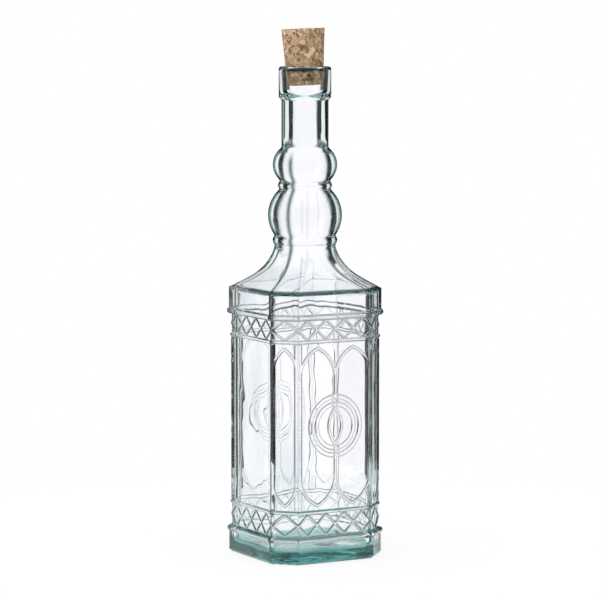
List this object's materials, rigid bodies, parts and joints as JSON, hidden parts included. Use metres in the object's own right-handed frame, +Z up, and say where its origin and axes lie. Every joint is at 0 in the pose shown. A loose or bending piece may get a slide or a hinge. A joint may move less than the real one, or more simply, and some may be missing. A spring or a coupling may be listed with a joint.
{
  "type": "glass bottle",
  "caption": "Tall glass bottle with an eight-sided embossed body, flared shoulder, double-bulb neck and a tapered cork standing loosely in its mouth.",
  "frame": {"origin": "centre of the foot, on the surface the bottle stands on", "axes": "+Z up along the bottle's axis, the decorated wide faces look along -Y and +Y, the plain wide faces along -X and +X"},
  "size_m": [0.0822, 0.0822, 0.329],
  "materials": {
    "glass": "clear recycled glass with a faint blue-green tint, fire-polished, slightly wavy",
    "cork": "matte pressed cork granules with dark flecks and small pits"
  },
  "bodies": {
    "bottle": {"glass_bottle": "glass"},
    "cork": {"cork_stopper": "cork"}
  },
  "joints": [
    {"name": "cork_lift", "type": "slide", "parent": "bottle", "child": "cork", "axis": [-0.0381, 0.0211, 0.999], "range_m": [0, 0.06]}
  ]
}
